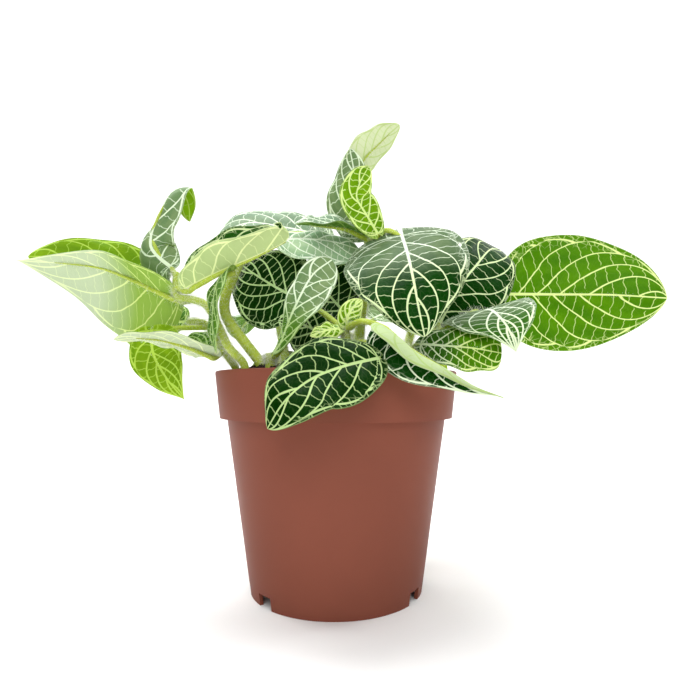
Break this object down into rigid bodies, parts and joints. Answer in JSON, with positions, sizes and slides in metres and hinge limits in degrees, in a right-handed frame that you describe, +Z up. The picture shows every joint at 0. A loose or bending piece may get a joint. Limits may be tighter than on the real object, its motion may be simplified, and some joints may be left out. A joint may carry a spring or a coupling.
{
  "type": "potted nerve plant",
  "caption": "Nerve plant with white-veined green leaves on soft arching stems, growing in the soil of a thin round plastic nursery pot.",
  "frame": {"origin": "middle of the whole plant's outline seen from above, on the plane that the pot stands on", "axes": "+X to the right of an eye that faces the front of the plant, along its longest extent; +Y from the front to the back, along its shortest extent; +Z up"},
  "size_m": [0.3012, 0.1759, 0.2105],
  "materials": {
    "pot": "satin injection-moulded terracotta-coloured plastic",
    "soil": "rough dark moist potting soil",
    "foliage": "soft hairy green foliage with pale veins"
  },
  "bodies": {
    "root": {"pot": "pot", "soil": "soil", "shoot_left_arch": "foliage", "shoot_left": "foliage", "shoot_low_left": "foliage", "shoot_centre_left": "foliage", "shoot_centre": "foliage", "shoot_top": "foliage", "shoot_right": "foliage", "shoot_back": "foliage", "shoot_back_left": "foliage", "shoot_back_right": "foliage"}
  },
  "joints": []
}
